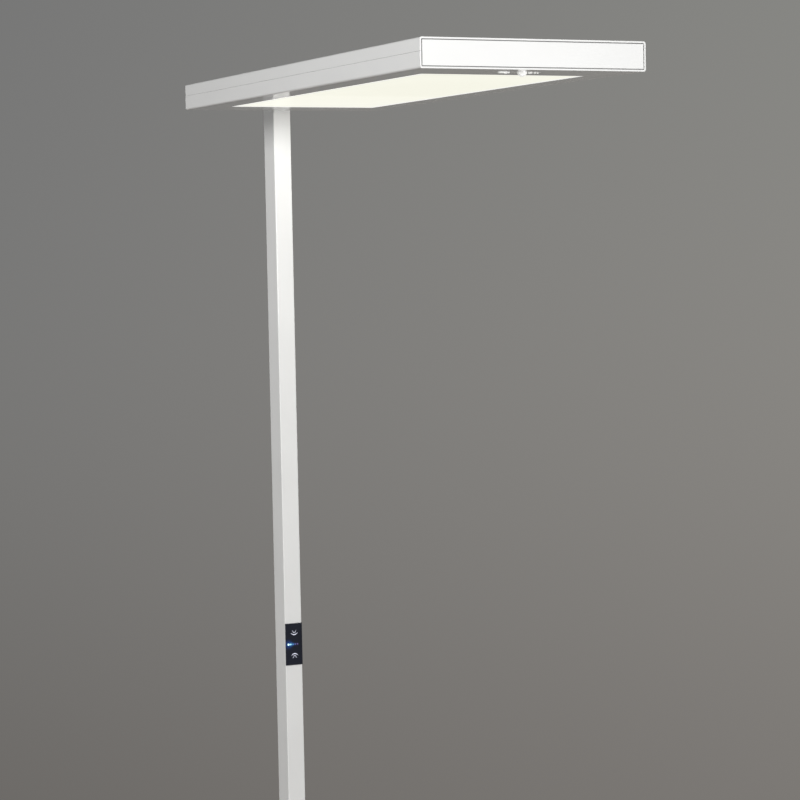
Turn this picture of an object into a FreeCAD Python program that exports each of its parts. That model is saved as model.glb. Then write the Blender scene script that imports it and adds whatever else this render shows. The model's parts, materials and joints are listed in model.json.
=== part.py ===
"""Office floor lamp: a long flat light head carried at one end by a slim rectangular post on a base plate.

Millimetres. +Z is up, the head reaches from the post towards -Y, and +X is across the head.
The origin is on the floor, in the middle of the lamp's width and depth.
"""
import FreeCAD, Part
import math
import os

Vector = FreeCAD.Vector
UP = Vector(0, 0, 1)
ALONG_Y = Vector(0, 1, 0)

# How far a cutter passes the face it opens, when two places count as one, and the least fillet
cut_over = 1.0
same_place = 0.01
least_fillet = 0.3

# Driving dimensions of the whole lamp
overall_height = 1950.0
head_length = 880.0
head_width = 334.0
head_height = 40.0
post_width = 30.0
post_depth = 44.0
post_wall = 2.5
post_corner_radius = 1.5
base_width = 320.0
base_length = 500.0
base_thickness = 10.0
base_corner_radius = 20.0
base_edge_radius = 1.5
base_rear_reach = 60.0

# Head casing
housing_wall = 2.2
housing_edge_radius = 3.0
seam_height = 22.0
seam_gap = 0.25
lap_thickness = 1.6
lap_height = 4.5
lap_clearance = 0.2
lap_from_end_plate = 3.0
reveal_gap = 1.4
end_plate_thickness = 3.0
end_flange_thickness = 2.0
end_flange_clearance = 0.1
end_lug_width = 20.0
end_lug_reach = 14.0
end_lug_thickness = 3.0
end_lug_height = 6.0
end_lug_x = 135.0

# Light openings, upper and lower
window_end_margin = 90.0
window_side_margin = 44.0
window_corner_radius = 2.0
diffuser_gap = 0.4
diffuser_recess = 0.3
diffuser_flange = 6.0
diffuser_flange_thickness = 2.0
light_guide_thickness = 4.0
reflector_thickness = 0.5
back_plate_thickness = 2.0
back_plate_rim = 4.0
strip_board_thickness = 1.2
led_height = 1.2
led_size = 3.0
led_spacing = 25.0
led_edge_gap = 0.5
uplight_board_width = 40.0
uplight_board_thickness = 1.6
uplight_board_x = 60.0
uplight_led_height = 0.7
uplight_wall = 2.0
uplight_wall_inset = 3.0

# Fasteners and the bosses that take them
thread_clearance = 0.05
thread_end_gap = 1.0
boss_radius = 4.0
small_screw_radius = 1.5
small_head_radius = 2.75
small_head_height = 1.8
small_screw_length = 6.0
lid_screw_radius = 2.0
lid_head_radius = 4.0
lid_screw_length = 12.0
lid_boss_inset = 7.5
lid_boss_from_end = 30.0
plate_boss_offset = 5.5
plate_boss_from_end = 60.0
plate_beyond_boss = 1.0
stud_radius = 2.5
stud_length = 9.5
nut_across_flats = 8.0
nut_height = 4.0
head_bolt_radius = 2.5
head_bolt_head_radius = 4.25
head_bolt_head_height = 5.0
head_bolt_socket_radius = 2.0
head_bolt_x = 8.5
head_bolt_grip = 13.0
bolt_margin = 0.6
block_edge_margin = 2.5

# Steel bracket that hangs the head on the post
bracket_half_width = 110.0
bracket_thickness = 4.0
bracket_stud_x = 100.0
bracket_stud_from_edge = 12.0
gap_to_back_plate = 2.0

# Electronics in the head
driver_half_width = 88.0
driver_height = 22.0
driver_tab_reach = 12.0
driver_tab_width = 14.0
driver_tab_thickness = 2.0
driver_tab_x = 60.0
driver_corner_radius = 2.0
driver_clearance = 2.0
terminal_width = 16.0
terminal_depth = 20.0
terminal_height = 20.0
terminal_gap = 3.0
block_chamfer = 1.0

# Presence and daylight sensor in the near end of the underside
bezel_x = -1.4
bezel_length = 66.0
bezel_width = 18.0
bezel_clearance = 0.2
bezel_flange = 3.0
bezel_flange_thickness = 1.5
lens_x = 4.0
lens_radius = 6.8
lens_proud = 5.6
lens_wall = 1.0
lens_flange = 0.9
lens_flange_thickness = 1.0
daylight_x = -23.4
daylight_length = 17.0
daylight_width = 6.6
daylight_proud = 1.3
daylight_dome_x = -20.6
daylight_dome_radius = 2.5
daylight_dome_proud = 0.7
receiver_x = 16.0
receiver_radius = 3.0
status_light_x = 27.3
status_light_radius = 1.4
transmitter_x = 23.2
transmitter_radius = 1.7
optic_proud = 1.2
optic_edge_radius = 0.6
optic_clearance = 0.1
peg_left_x = -9.5
peg_right_x = 21.5
peg_offset_y = 6.0
peg_radius = 1.0
peg_shoulder_radius = 1.8
peg_beyond_board = 0.6
sensor_standoff = 4.0
sensor_board_length = 70.0
sensor_board_width = 20.0
board_thickness = 1.6
pir_can_radius = 4.6
pir_can_height = 4.2
pir_window_half_width = 1.9
pir_window_depth = 0.4

# Touch panel on the post
touch_drop = 885.0
touch_side_inset = 0.1
touch_height = 70.0
touch_glass_thickness = 1.6
touch_edge_radius = 0.4
touch_window_width = 24.0
touch_window_height = 64.0
touch_board_clearance = 0.5
carrier_height = 80.0
carrier_depth = 6.0
carrier_clearance = 0.05
carrier_opening_width = 18.0
carrier_opening_height = 50.0
indicator_count = 5
indicator_spacing = 4.0
indicator_x = -1.8
indicator_hole_radius = 0.5
indicator_size = 1.4
indicator_depth = 0.8
connector_width = 10.0
connector_height = 12.0
connector_depth = 4.0
connector_below_lights = 3.0

# Post fittings
cap_thickness = 2.0
cap_plug_height = 4.0
cap_wall = 2.0
insert_clearance = 0.2
head_block_depth = 14.0
head_block_below = 30.0
foot_block_height = 44.0
foot_screw_radius = 3.0
foot_screw_head_radius = 5.0
foot_screw_head_height = 6.0
foot_screw_socket_radius = 2.4
foot_screw_length = 24.0
foot_screw_x = 7.5
foot_screw_y = 12.0
counterbore_clearance = 0.5
grub_radius = 2.5
grub_length = 9.0
grub_recess = 0.3
grub_low_height = 14.0
grub_high_height = 32.0
gland_height = 74.0
gland_bore_radius = 4.0
gland_neck_radius = 6.0
gland_flange_radius = 9.0
gland_flange_thickness = 3.0
gland_edge_radius = 1.2
gland_neck_length = 8.0
gland_nut_radius = 9.0
gland_nut_thickness = 3.0
gland_clearance = 0.05

# Cables held inside the lamp
mains_cable_radius = 2.8
control_cable_radius = 1.5
lead_radius = 1.0
led_lead_from_edge = 3.0
led_lead_inset = 6.0
mains_cable_x = -2.8
control_cable_x = 4.2
cable_behind_block = 11.5
cable_top_bend = 11.0
cable_lane_bend = 8.0
cable_lane_clearance = 1.5
cable_hole_clearance = 0.7
inlet_block_width = 20.0
inlet_block_depth = 16.0
inlet_block_height = 40.0
cable_shift_height = 80.0
cable_shift_start = 40.0
mains_shift_bend = 60.0
control_cable_reach = 6.0
control_start_bend = 4.5
control_shift_bend = 40.0
inlet_above_block = 6.0
sensor_lead_step = 15.0
sensor_lead_rise = 5.0
sensor_lead_wide_bend = 12.0
sensor_lead_tight_bend = 2.5
bracket_lead_gap = 6.0
led_lead_height = 6.0
led_lead_bend = 3.0

# Levelling glides under the base
glide_foot_radius = 13.0
glide_foot_thickness = 4.5
glide_pad_thickness = 1.5
glide_pad_inset = 1.0
glide_stud_radius = 4.0
glide_stud_engagement = 7.5
glide_hole_depth = 8.0
glide_stud_clearance = 0.08
glide_inset = 30.0

# Heights
base_bottom_z = glide_foot_thickness + glide_pad_thickness
base_top_z = base_bottom_z + base_thickness
head_top_z = overall_height
head_bottom_z = head_top_z - head_height
floor_z = head_bottom_z + housing_wall
roof_z = head_top_z - housing_wall
seam_z = head_bottom_z + seam_height
guide_z = floor_z + diffuser_flange_thickness
reflector_z = guide_z + light_guide_thickness
back_plate_z = reflector_z + reflector_thickness
back_plate_top_z = back_plate_z + back_plate_thickness
upper_flange_z = roof_z - diffuser_flange_thickness
bracket_top_z = floor_z + bracket_thickness
bezel_top_z = floor_z + bezel_flange_thickness
sensor_board_z = bezel_top_z + sensor_standoff
low_bolt_z = bracket_top_z + head_bolt_head_radius + bolt_margin
head_block_top_z = head_top_z - cap_thickness - cap_plug_height - insert_clearance
high_bolt_z = head_block_top_z - head_bolt_radius - block_edge_margin
cable_z = (low_bolt_z + high_bolt_z) / 2
touch_z = head_bottom_z - touch_drop
connector_z = touch_z - indicator_size / 2 - connector_below_lights - connector_height / 2

# Places across and along the lamp
depth = head_length + post_depth + base_rear_reach
near_y = -depth / 2
far_y = near_y + head_length
post_front_y = far_y
post_rear_y = post_front_y + post_depth
post_inner_front_y = post_front_y + post_wall
post_inner_rear_y = post_rear_y - post_wall
post_inner_half_x = post_width / 2 - post_wall
base_rear_y = post_rear_y + base_rear_reach
base_front_y = base_rear_y - base_length
cavity_half_x = head_width / 2 - housing_wall
end_depth = end_plate_thickness + end_flange_thickness
near_inner_y = near_y + end_depth
far_inner_y = far_y - end_depth
window_half_x = head_width / 2 - window_side_margin
window_near_y = near_y + window_end_margin
window_far_y = far_y - window_end_margin
guide_half_x = window_half_x + diffuser_flange
guide_near_y = window_near_y - diffuser_flange
guide_far_y = window_far_y + diffuser_flange
strip_half_x = guide_half_x + led_height + strip_board_thickness
plate_flange_half_x = strip_half_x + back_plate_thickness
plate_boss_x = plate_flange_half_x + plate_boss_offset
back_plate_half_x = plate_boss_x + boss_radius + plate_beyond_boss
back_plate_near_y = guide_near_y - back_plate_rim
back_plate_far_y = guide_far_y + back_plate_rim
lid_boss_x = cavity_half_x - lid_boss_inset
sensor_y = near_y + window_end_margin / 2
sensor_board_end_x = bezel_x + sensor_board_length / 2
bracket_near_y = back_plate_far_y + gap_to_back_plate
bracket_far_y = far_inner_y
bracket_leg_y = bracket_far_y - bracket_thickness
cable_lane_y = bracket_leg_y - head_bolt_head_height - mains_cable_radius - cable_lane_clearance
driver_near_y = bracket_near_y + driver_tab_reach + driver_clearance
driver_far_y = cable_lane_y - mains_cable_radius - driver_clearance
terminal_x = driver_half_width + terminal_gap + terminal_width / 2
terminal_y = (driver_near_y + driver_far_y) / 2
terminal_top_z = bracket_top_z + terminal_height
lead_lane_x = (plate_boss_x + boss_radius + lid_boss_x - boss_radius) / 2
cable_y = post_inner_front_y + head_block_depth + cable_behind_block
inlet_y = post_inner_front_y + inlet_block_depth / 2
inlet_z = base_top_z + foot_block_height + inlet_above_block


def box(x_low, x_high, y_low, y_high, z_low, z_high):
    """Plain block between two corners."""
    return Part.makeBox(x_high - x_low, y_high - y_low, z_high - z_low, Vector(x_low, y_low, z_low))


def rounded_block(x_low, x_high, y_low, y_high, z_low, z_high, radius):
    """Block with its four upright edges rounded."""
    block = box(x_low, x_high, y_low, y_high, z_low, z_high)
    upright = [edge for edge in block.Edges if edge.BoundBox.ZLength > (z_high - z_low) / 2]
    return block.makeFillet(radius, upright)


def rod(radius, length, centre, direction=UP):
    """Round bar from a centre point along a direction."""
    return Part.makeCylinder(radius, length, centre, direction)


def upright_obround(length, width, z_low, z_high, centre_x, centre_y):
    """Slab with two half-round ends, long across the head."""
    reach = (length - width) / 2
    body = box(centre_x - reach, centre_x + reach,
               centre_y - width / 2, centre_y + width / 2, z_low, z_high)
    left = rod(width / 2, z_high - z_low, Vector(centre_x - reach, centre_y, z_low))
    right = rod(width / 2, z_high - z_low, Vector(centre_x + reach, centre_y, z_low))
    return body.multiFuse([left, right]).removeSplitter()


def drilled(shape, tools):
    """Shape with every tool cut out of it."""
    for tool in tools:
        shape = shape.cut(tool)
    return shape


def joined(shapes):
    """One solid from pieces that touch or overlap."""
    return shapes[0].multiFuse(shapes[1:]).removeSplitter()


def bent_tube(points, bend_radii, radius):
    """Round cable along straight runs that tangent arcs join."""
    edges = []
    start = points[0]
    for before, corner, after, bend in zip(points, points[1:], points[2:], bend_radii):
        arriving = (corner - before).normalize()
        leaving = (after - corner).normalize()
        half_turn = arriving.getAngle(leaving) / 2
        reach = bend * math.tan(half_turn)
        arc_start = corner - arriving * reach
        arc_end = corner + leaving * reach
        inward = (leaving - arriving).normalize()
        arc_middle = corner + inward * (bend / math.cos(half_turn) - bend)
        edges.append(Part.makeLine(start, arc_start))
        edges.append(Part.Arc(arc_start, arc_middle, arc_end).toShape())
        start = arc_end
    edges.append(Part.makeLine(start, points[-1]))
    section = Part.Wire(Part.makeCircle(radius, points[0], points[1] - points[0]))
    return Part.Wire(edges).makePipeShell([section], True, False)


def pan_screw(x, y, seat_z, radius, length, head_radius, head_height):
    """Upright screw whose round head rests on seat_z."""
    shank = rod(radius, length, Vector(x, y, seat_z - length))
    head = rod(head_radius, head_height, Vector(x, y, seat_z))
    return joined([shank, head])


def export(name, solids):
    """Write one node, which may be a group of separate solids."""
    shape = solids[0] if len(solids) == 1 else Part.makeCompound(solids)
    shape.exportStep("parts/" + name + ".step")
    print(name, "solids", len(shape.Solids), "valid", shape.isValid(), "cm3", round(shape.Volume / 1000, 2))


def lid_screw_places():
    """Six places along the head's sides where the lid is screwed down."""
    middle_y = (near_y + far_y) / 2
    rows = (near_y + lid_boss_from_end, middle_y, far_y - lid_boss_from_end)
    return [(side * lid_boss_x, y) for side in (-1, 1) for y in rows]


def plate_screw_places():
    """Six places beside the light guide where the back plate is screwed down."""
    rows = (guide_near_y + plate_boss_from_end, (guide_near_y + guide_far_y) / 2,
            guide_far_y - plate_boss_from_end)
    return [(side * plate_boss_x, y) for side in (-1, 1) for y in rows]


def end_lug_places():
    """Two places behind each end plate where its lugs are screwed down."""
    reach = end_lug_reach / 2
    return [(side * end_lug_x, y) for side in (-1, 1) for y in (near_inner_y + reach, far_inner_y - reach)]


def bracket_stud_places():
    """Four studs of the casing floor that clamp the bracket."""
    rows = (bracket_near_y + bracket_stud_from_edge, bracket_leg_y - bracket_stud_from_edge)
    return [(side * bracket_stud_x, y) for side in (-1, 1) for y in rows]


def head_bolt_places():
    """Four bolts from the head into the post."""
    return [(side * head_bolt_x, z) for side in (-1, 1) for z in (low_bolt_z, high_bolt_z)]


def cable_slot(y_low, y_high):
    """Passage for both cables between the post and the head."""
    radius = mains_cable_radius + cable_hole_clearance
    left_x = mains_cable_x
    right_x = control_cable_x + control_cable_radius - mains_cable_radius
    length = y_high - y_low
    middle = box(left_x, right_x, y_low, y_high, cable_z - radius, cable_z + radius)
    left = rod(radius, length, Vector(left_x, y_low, cable_z), ALONG_Y)
    right = rod(radius, length, Vector(right_x, y_low, cable_z), ALONG_Y)
    return joined([middle, left, right])


def head_bolt_holes(y_low, y_high):
    """Holes for the four head bolts between two depths."""
    radius = head_bolt_radius + thread_clearance
    return [rod(radius, y_high - y_low, Vector(x, y_low, z), ALONG_Y) for x, z in head_bolt_places()]


def long_edges_at(block, z):
    """Edges of a block that run along the head at one height."""
    return [edge for edge in block.Edges
            if edge.BoundBox.YLength > cut_over and abs(edge.CenterOfMass.z - z) < same_place]


def edges_at_depth(shape, y):
    """Edges of a shape that lie at one depth."""
    return [edge for edge in shape.Edges if abs(edge.CenterOfMass.y - y) < same_place]


def casing_trough(z_low, z_high, edge_z):
    """One half of the box-section casing, its long edges at edge_z rounded, open at both ends."""
    outer = box(-head_width / 2, head_width / 2, near_y, far_y, z_low, z_high)
    outer = outer.makeFillet(housing_edge_radius, long_edges_at(outer, edge_z))
    inner_edge_z = edge_z + housing_wall if edge_z < seam_z else edge_z - housing_wall
    inner_low = inner_edge_z if edge_z < seam_z else z_low - cut_over
    inner_high = z_high + cut_over if edge_z < seam_z else inner_edge_z
    inner = box(-cavity_half_x, cavity_half_x, near_y - cut_over, far_y + cut_over, inner_low, inner_high)
    inner_radius = max(housing_edge_radius - housing_wall, least_fillet)
    inner = inner.makeFillet(inner_radius, long_edges_at(inner, inner_edge_z))
    return outer.cut(inner)


def light_window(z_low, z_high):
    """Cutter for the long light opening of the casing."""
    return rounded_block(-window_half_x, window_half_x, window_near_y, window_far_y, z_low, z_high,
                         window_corner_radius)


def build_lower_housing():
    """Lower tray of the head, with its bosses, studs and the lap behind the side seam."""
    tray_top = seam_z - seam_gap / 2
    tray = casing_trough(head_bottom_z, tray_top, head_bottom_z)
    pieces = [tray]
    lap_near = near_inner_y + lap_from_end_plate
    lap_far = far_inner_y - lap_from_end_plate
    for side in (-1, 1):
        wall_x = side * cavity_half_x
        inner_x = side * (cavity_half_x - lap_thickness)
        clear_x = side * (cavity_half_x - lap_clearance)
        pieces.append(box(min(wall_x, inner_x), max(wall_x, inner_x), lap_near, lap_far,
                          tray_top - lap_height, tray_top))
        pieces.append(box(min(clear_x, inner_x), max(clear_x, inner_x), lap_near, lap_far,
                          tray_top, tray_top + lap_height))
    for x, y in lid_screw_places():
        pieces.append(rod(boss_radius, roof_z - floor_z, Vector(x, y, floor_z)))
    for x, y in plate_screw_places():
        pieces.append(rod(boss_radius, back_plate_z - floor_z, Vector(x, y, floor_z)))
    for x, y in end_lug_places():
        pieces.append(rod(boss_radius, end_lug_height, Vector(x, y, floor_z)))
    for x, y in bracket_stud_places():
        pieces.append(rod(stud_radius, stud_length, Vector(x, y, floor_z)))
    tray = joined(pieces)
    holes = [light_window(head_bottom_z - cut_over, floor_z + cut_over)]
    holes.append(upright_obround(bezel_length + 2 * bezel_clearance, bezel_width + 2 * bezel_clearance,
                                 head_bottom_z - cut_over, floor_z + cut_over, bezel_x, sensor_y))
    lid_hole = lid_screw_radius + thread_clearance
    for x, y in lid_screw_places():
        holes.append(rod(lid_hole, lid_screw_length, Vector(x, y, roof_z - lid_screw_length)))
    small_hole = small_screw_radius + thread_clearance
    for x, y in plate_screw_places():
        holes.append(rod(small_hole, back_plate_z - floor_z, Vector(x, y, floor_z)))
    for x, y in end_lug_places():
        holes.append(rod(small_hole, end_lug_height, Vector(x, y, floor_z)))
    return drilled(tray, holes)


def countersink(x, y, clearance):
    """Cone of a flat screw head in the lid."""
    depth_of_head = lid_head_radius - lid_screw_radius
    return Part.makeCone(lid_screw_radius + clearance, lid_head_radius + clearance, depth_of_head,
                         Vector(x, y, head_top_z - depth_of_head))


def build_upper_housing():
    """Lid of the head, with the upper light opening and six countersunk holes."""
    lid = casing_trough(seam_z + seam_gap / 2, head_top_z, head_top_z)
    holes = [light_window(roof_z - cut_over, head_top_z + cut_over)]
    for x, y in lid_screw_places():
        holes.append(rod(lid_screw_radius + thread_clearance, housing_wall + 2 * cut_over,
                         Vector(x, y, roof_z - cut_over)))
        holes.append(countersink(x, y, thread_clearance))
    return drilled(lid, holes)


def build_lid_screws():
    """Flat-head screws that hold the lid."""
    screws = []
    for x, y in lid_screw_places():
        shank = rod(lid_screw_radius, head_top_z - roof_z + lid_screw_length - thread_end_gap,
                    Vector(x, y, roof_z - lid_screw_length + thread_end_gap))
        screws.append(joined([shank, countersink(x, y, 0)]))
    return screws


def build_end_plate(outer_y, inward):
    """Inset plate that closes one end of the casing; inward is +1 at the near end and -1 at the far end."""
    face_half_x = cavity_half_x - reveal_gap
    step_y = outer_y + inward * end_plate_thickness
    inner_y = step_y + inward * end_flange_thickness
    face = box(-face_half_x, face_half_x, min(outer_y, step_y), max(outer_y, step_y),
               floor_z + reveal_gap, roof_z - reveal_gap)
    flange_half_x = cavity_half_x - end_flange_clearance
    flange = box(-flange_half_x, flange_half_x, min(step_y, inner_y), max(step_y, inner_y),
                 floor_z + end_flange_clearance, roof_z - end_flange_clearance)
    flange_edges = [e for e in flange.Edges if e.BoundBox.YLength > end_flange_thickness / 2]
    flange = flange.makeFillet(max(housing_edge_radius - housing_wall, least_fillet), flange_edges)
    pieces = [face, flange]
    lug_z = floor_z + end_lug_height
    tip_y = inner_y + inward * end_lug_reach
    for side in (-1, 1):
        centre_x = side * end_lug_x
        pieces.append(box(centre_x - end_lug_width / 2, centre_x + end_lug_width / 2, min(inner_y, tip_y),
                          max(inner_y, tip_y), lug_z, lug_z + end_lug_thickness))
    plate = joined(pieces)
    small_hole = small_screw_radius + thread_clearance
    holes = [rod(small_hole, end_lug_thickness + 2 * cut_over, Vector(x, y, lug_z - cut_over))
             for x, y in end_lug_places()]
    return drilled(plate, holes)


def build_far_end_plate():
    """End plate on the post's side, drilled for the bolts and cables."""
    holes = head_bolt_holes(far_inner_y - cut_over, far_y + cut_over)
    holes.append(cable_slot(far_inner_y - cut_over, far_y + cut_over))
    return drilled(build_end_plate(far_y, -1), holes)


def build_end_plate_screws():
    """Screws of the end plates' lugs."""
    seat_z = floor_z + end_lug_height + end_lug_thickness
    return [pan_screw(x, y, seat_z, small_screw_radius, small_screw_length, small_head_radius,
                      small_head_height)
            for x, y in end_lug_places()]


def build_head_bracket():
    """Steel angle on the casing floor, its upright leg bolted through the end plate to the post."""
    leg = box(-bracket_half_width, bracket_half_width, bracket_near_y, bracket_far_y, floor_z,
              bracket_top_z)
    upright = box(-bracket_half_width, bracket_half_width, bracket_leg_y, bracket_far_y,
                  bracket_top_z, roof_z - housing_edge_radius)
    bracket = joined([leg, upright])
    holes = head_bolt_holes(bracket_leg_y - cut_over, bracket_far_y + cut_over)
    holes.append(cable_slot(bracket_leg_y - cut_over, bracket_far_y + cut_over))
    for x, y in bracket_stud_places():
        holes.append(rod(stud_radius + thread_clearance, bracket_thickness + 2 * cut_over,
                         Vector(x, y, floor_z - cut_over)))
    for side in (-1, 1):
        holes.append(rod(small_screw_radius + thread_clearance, bracket_thickness + 2 * cut_over,
                         Vector(side * driver_tab_x, driver_screw_y(), floor_z - cut_over)))
    return drilled(bracket, holes)


def build_bracket_nuts():
    """Hexagon nuts on the casing's studs."""
    corner = nut_across_flats / math.sqrt(3)
    nuts = []
    for x, y in bracket_stud_places():
        points = [Vector(x + corner * math.cos(math.radians(60 * k)),
                         y + corner * math.sin(math.radians(60 * k)),
                         bracket_top_z) for k in range(7)]
        body = Part.Face(Part.makePolygon(points)).extrude(Vector(0, 0, nut_height))
        nuts.append(body.cut(rod(stud_radius + thread_clearance, nut_height, Vector(x, y, bracket_top_z))))
    return nuts


def build_head_bolts():
    """Socket-head bolts from inside the head into the block in the post."""
    length = bracket_thickness + end_depth + post_wall + head_bolt_grip
    bolts = []
    for x, z in head_bolt_places():
        shank = rod(head_bolt_radius, length, Vector(x, bracket_leg_y, z), ALONG_Y)
        head = rod(head_bolt_head_radius, head_bolt_head_height,
                   Vector(x, bracket_leg_y - head_bolt_head_height, z), ALONG_Y)
        socket = rod(head_bolt_socket_radius, head_bolt_head_height / 2,
                     Vector(x, bracket_leg_y - head_bolt_head_height, z), ALONG_Y)
        bolts.append(joined([shank, head]).cut(socket))
    return bolts


def stepped_diffuser(face_low, face_high, flange_low, flange_high):
    """Opal panel: a face that fills the window and a flange behind the casing."""
    inset = diffuser_gap
    face = rounded_block(-window_half_x + inset, window_half_x - inset,
                         window_near_y + inset, window_far_y - inset,
                         face_low, face_high, window_corner_radius)
    flange = box(-guide_half_x, guide_half_x, guide_near_y, guide_far_y, flange_low, flange_high)
    return joined([face, flange])


def led_places():
    """Lengthwise places of the light sources, evenly spaced about the middle of the window."""
    middle = (window_near_y + window_far_y) / 2
    count = int((window_far_y - window_near_y) // led_spacing)
    return [middle + (k - (count - 1) / 2) * led_spacing for k in range(count)]


def build_led_strips():
    """Two boards on edge that feed the light guide from its long sides."""
    strips = []
    for side in (-1, 1):
        outer_x = side * strip_half_x
        board_x = side * (strip_half_x - strip_board_thickness)
        led_x = side * guide_half_x
        pieces = [box(min(outer_x, board_x), max(outer_x, board_x), guide_near_y, guide_far_y, floor_z,
                      back_plate_z)]
        for y in led_places():
            pieces.append(box(min(board_x, led_x), max(board_x, led_x), y - led_size / 2, y + led_size / 2,
                              guide_z + led_edge_gap, reflector_z - led_edge_gap))
        strips.append(joined(pieces))
    return strips


def build_back_plate():
    """Channel-shaped plate over the light guide that cools both sets of light sources."""
    plate = box(-back_plate_half_x, back_plate_half_x, back_plate_near_y, back_plate_far_y,
                back_plate_z, back_plate_top_z)
    pieces = [plate]
    for side in (-1, 1):
        inner_x = side * strip_half_x
        outer_x = side * plate_flange_half_x
        pieces.append(box(min(inner_x, outer_x), max(inner_x, outer_x), guide_near_y, guide_far_y,
                          floor_z, back_plate_z))
    hole = small_screw_radius + thread_clearance
    holes = [rod(hole, back_plate_thickness + 2 * cut_over, Vector(x, y, back_plate_z - cut_over))
             for x, y in plate_screw_places()]
    return drilled(joined(pieces), holes)


def build_back_plate_screws():
    """Screws of the back plate."""
    return [pan_screw(x, y, back_plate_top_z, small_screw_radius, small_screw_length, small_head_radius,
                      small_head_height) for x, y in plate_screw_places()]


def build_uplight_boards():
    """Two flat boards of light sources that shine up."""
    boards = []
    top = back_plate_top_z + uplight_board_thickness
    for side in (-1, 1):
        centre_x = side * uplight_board_x
        pieces = [box(centre_x - uplight_board_width / 2, centre_x + uplight_board_width / 2,
                      window_near_y, window_far_y, back_plate_top_z, top)]
        for y in led_places():
            pieces.append(box(centre_x - led_size / 2, centre_x + led_size / 2,
                              y - led_size / 2, y + led_size / 2, top, top + uplight_led_height))
        boards.append(joined(pieces))
    return boards


def build_uplight_reflector():
    """White wall round the uplight chamber that also carries the upper panel's flange."""
    outer_x = guide_half_x - uplight_wall_inset
    outer_near = guide_near_y + uplight_wall_inset
    outer_far = guide_far_y - uplight_wall_inset
    outer = box(-outer_x, outer_x, outer_near, outer_far, back_plate_top_z, upper_flange_z)
    inner = box(-outer_x + uplight_wall, outer_x - uplight_wall,
                outer_near + uplight_wall, outer_far - uplight_wall,
                back_plate_top_z - cut_over, upper_flange_z + cut_over)
    return outer.cut(inner)


def driver_screw_y():
    """Lengthwise place of the driver's two screws."""
    return driver_near_y - driver_tab_reach / 2


def build_driver():
    """Power supply on the bracket, with two tabs for its screws."""
    body = rounded_block(-driver_half_width, driver_half_width, driver_near_y, driver_far_y, bracket_top_z,
                         bracket_top_z + driver_height, driver_corner_radius)
    pieces = [body]
    for side in (-1, 1):
        centre_x = side * driver_tab_x
        pieces.append(box(centre_x - driver_tab_width / 2, centre_x + driver_tab_width / 2,
                          driver_near_y - driver_tab_reach, driver_near_y + driver_corner_radius,
                          bracket_top_z, bracket_top_z + driver_tab_thickness))
    holes = [rod(small_screw_radius + thread_clearance, driver_tab_thickness + 2 * cut_over,
                 Vector(side * driver_tab_x, driver_screw_y(),
                        bracket_top_z - cut_over)) for side in (-1, 1)]
    return drilled(joined(pieces), holes)


def build_driver_screws():
    """Two screws of the driver."""
    seat_z = bracket_top_z + driver_tab_thickness
    length = driver_tab_thickness + bracket_thickness
    return [pan_screw(side * driver_tab_x, driver_screw_y(), seat_z, small_screw_radius, length,
                      small_head_radius, small_head_height)
            for side in (-1, 1)]


def build_terminal(side):
    """Connector block beside the driver."""
    centre_x = side * terminal_x
    block = box(centre_x - terminal_width / 2, centre_x + terminal_width / 2,
                terminal_y - terminal_depth / 2, terminal_y + terminal_depth / 2,
                bracket_top_z, terminal_top_z)
    top_edges = [e for e in block.Edges if abs(e.CenterOfMass.z - terminal_top_z) < same_place]
    return block.makeChamfer(block_chamfer, top_edges)


def peg_places():
    """Four pegs of the bezel that carry the sensor's board."""
    return [(x, sensor_y + side * peg_offset_y) for x in (peg_left_x, peg_right_x) for side in (-1, 1)]


def optic_places():
    """Place and radius of the three round windows beside the lens."""
    return [(receiver_x, receiver_radius), (status_light_x, status_light_radius),
            (transmitter_x, transmitter_radius)]


def build_sensor_bezel():
    """Oblong frame of the sensor, level with the underside, its flange and the board's pegs inside."""
    face = upright_obround(bezel_length, bezel_width, head_bottom_z, floor_z, bezel_x, sensor_y)
    flange = upright_obround(bezel_length + 2 * bezel_flange, bezel_width + 2 * bezel_flange,
                             floor_z, bezel_top_z, bezel_x, sensor_y)
    pieces = [face, flange]
    for x, y in peg_places():
        foot = Vector(x, y, bezel_top_z)
        pieces.append(rod(peg_shoulder_radius, sensor_standoff, foot))
        pieces.append(rod(peg_radius, sensor_standoff + board_thickness + peg_beyond_board, foot))
    low = head_bottom_z - cut_over
    length = bezel_top_z + cut_over - low
    holes = [rod(lens_radius + optic_clearance, length, Vector(lens_x, sensor_y, low))]
    for x, radius in optic_places():
        holes.append(rod(radius + optic_clearance, length, Vector(x, sensor_y, low)))
    holes.append(upright_obround(daylight_length + 2 * optic_clearance,
                                 daylight_width + 2 * optic_clearance,
                                 low, bezel_top_z + cut_over, daylight_x, sensor_y))
    return drilled(joined(pieces), holes)


def build_pir_lens():
    """Domed lens of the presence sensor, its flange on top of the bezel."""
    centre = Vector(lens_x, sensor_y, head_bottom_z - lens_proud + lens_radius)
    neck_height = bezel_top_z + lens_flange_thickness - centre.z
    neck = rod(lens_radius, neck_height, centre)
    dome = Part.makeSphere(lens_radius, centre)
    lower_half = rod(lens_radius + cut_over, lens_radius + cut_over, centre - UP * (lens_radius + cut_over))
    flange = rod(lens_radius + lens_flange, lens_flange_thickness, Vector(lens_x, sensor_y, bezel_top_z))
    outer = joined([neck, dome.common(lower_half), flange])
    inner_radius = lens_radius - lens_wall
    hollow = joined([rod(inner_radius, neck_height + cut_over, centre),
                     Part.makeSphere(inner_radius, centre).common(lower_half)])
    return outer.cut(hollow)


def build_optic(x, radius):
    """Light pipe from below the bezel up to the sensor's board, its outer end rounded."""
    low = head_bottom_z - optic_proud
    pipe = rod(radius, sensor_board_z - low, Vector(x, sensor_y, low))
    end = [e for e in pipe.Edges if abs(e.CenterOfMass.z - low) < same_place]
    return pipe.makeFillet(optic_edge_radius, end)


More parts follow.
